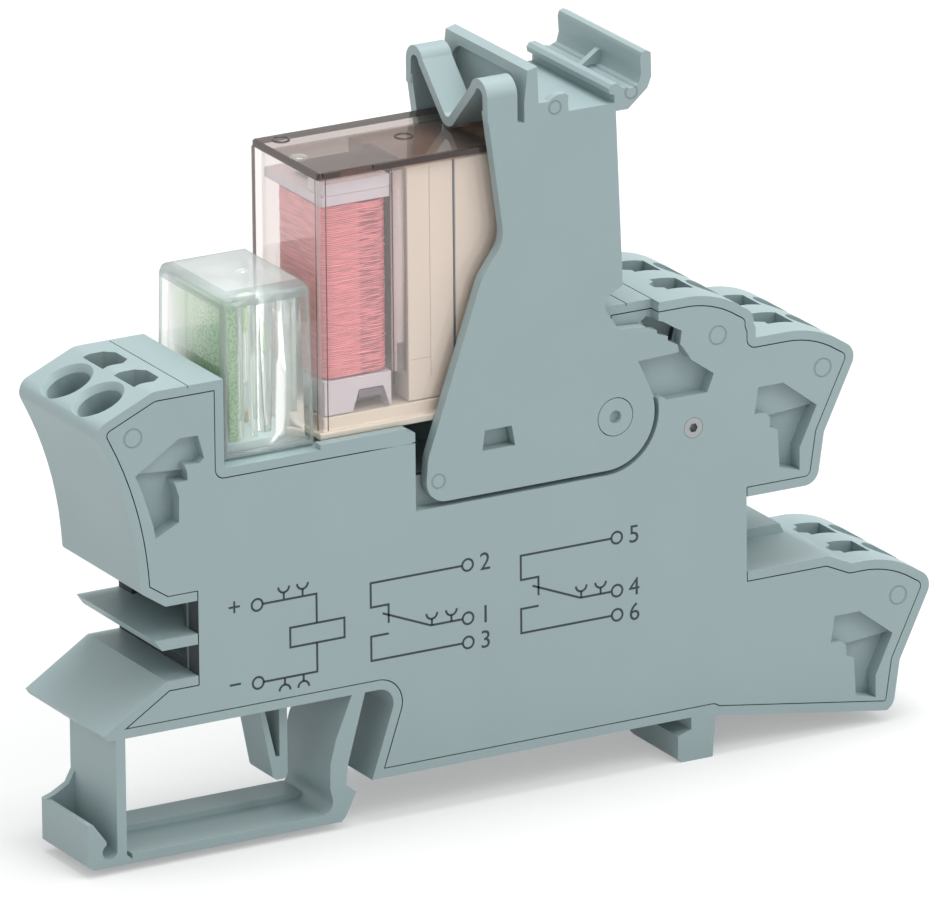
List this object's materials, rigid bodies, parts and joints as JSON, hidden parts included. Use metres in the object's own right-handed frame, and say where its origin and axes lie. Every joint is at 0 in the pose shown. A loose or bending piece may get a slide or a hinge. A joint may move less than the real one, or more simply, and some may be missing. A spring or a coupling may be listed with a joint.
{
  "type": "relay module",
  "caption": "Rail-mounted relay socket with a plug-in clear relay, a retaining lever with a marker carrier, and a plug-in indicator.",
  "frame": {"origin": "middle of the flat seat that rests on the top of the mounting rail", "axes": "+X along the module from the coil terminals to the contact terminals, +Y from the covered front side to the back, +Z away from the rail"},
  "size_m": [0.0867, 0.015, 0.0682],
  "materials": {
    "housing_plastic": "satin moulded polyamide",
    "cover_plastic": "satin moulded polyamide",
    "lever_plastic": "satin moulded polyamide",
    "rivet_steel": "bright",
    "spring_steel": "rolled spring steel",
    "tinned_copper": "tin plated",
    "relay_base_plastic": "moulded",
    "clear_cover": "clear moulded polycarbonate",
    "bobbin_plastic": "moulded",
    "winding_wire": "enamelled copper wire under a thin wrap",
    "soft_iron": "plated soft iron",
    "contact_box_plastic": "moulded",
    "slider_plastic": "moulded",
    "contact_bronze": "rolled phosphor bronze",
    "clear_cap": "clear moulded polycarbonate",
    "indicator_plastic": "moulded",
    "board_laminate": "glass fibre laminate",
    "led_resin": "cast epoxy",
    "chip_ceramic": "fired"
  },
  "bodies": {
    "socket": {"housing": "housing_plastic", "front_cover": "cover_plastic", "cover_rivet": "rivet_steel", "clamp_break_front": "spring_steel", "busbar_break_front": "tinned_copper", "clamp_break_back": "spring_steel", "busbar_break_back": "tinned_copper", "clamp_common_front": "spring_steel", "busbar_common_front": "tinned_copper", "clamp_common_back": "spring_steel", "busbar_common_back": "tinned_copper", "clamp_make_front": "spring_steel", "busbar_make_front": "tinned_copper", "clamp_make_back": "spring_steel", "busbar_make_back": "tinned_copper", "clamp_coil_front": "spring_steel", "busbar_coil_front": "tinned_copper", "clamp_coil_back": "spring_steel", "busbar_coil_back": "tinned_copper"},
    "lever": {"retaining_lever": "lever_plastic"},
    "relay": {"relay_base": "relay_base_plastic", "relay_cover": "clear_cover", "coil_bobbin": "bobbin_plastic", "coil_winding": "winding_wire", "coil_core": "soft_iron", "yoke": "soft_iron", "contact_housing": "contact_box_plastic", "changeover_spring_front": "contact_bronze", "break_contact_front": "contact_bronze", "make_contact_front": "contact_bronze", "coil_pin_front": "contact_bronze", "changeover_spring_back": "contact_bronze", "break_contact_back": "contact_bronze", "make_contact_back": "contact_bronze", "coil_pin_back": "contact_bronze"},
    "armature": {"armature": "soft_iron"},
    "slider": {"contact_slider": "slider_plastic"},
    "indicator": {"indicator_cap": "clear_cap", "indicator_base": "indicator_plastic", "indicator_board": "board_laminate", "indicator_led": "led_resin", "indicator_resistor": "chip_ceramic", "indicator_diode": "chip_ceramic", "indicator_pin_front": "contact_bronze", "indicator_pin_back": "contact_bronze"}
  },
  "joints": [
    {"name": "lever_pivot", "type": "hinge", "parent": "socket", "child": "lever", "pos_m": [0.0101, 0, 0.03], "axis": [0, 1, 0], "range_deg": [0, 28]},
    {"name": "relay_lift", "type": "slide", "parent": "socket", "child": "relay", "axis": [0, 0, 1], "range_m": [0, 0.0029]},
    {"name": "indicator_pull", "type": "slide", "parent": "socket", "child": "indicator", "axis": [0, 0, 1], "range_m": [0, 0.014]},
    {"name": "armature_tilt", "type": "hinge", "parent": "relay", "child": "armature", "pos_m": [-0.0109, 0, 0.05505], "axis": [0, 1, 0], "range_deg": [-3, 0]},
    {"name": "slider_shift", "type": "slide", "parent": "relay", "child": "slider", "axis": [1, 0, 0], "range_m": [0, 0.00024], "stiffness_N_per_m": 300}
  ],
  "couplings": [
    {"joint": "relay_lift", "follows": "lever_pivot", "m_per_rad": 0.0058},
    {"joint": "armature_tilt", "follows": "slider_shift", "rad_per_m": -210.5}
  ]
}
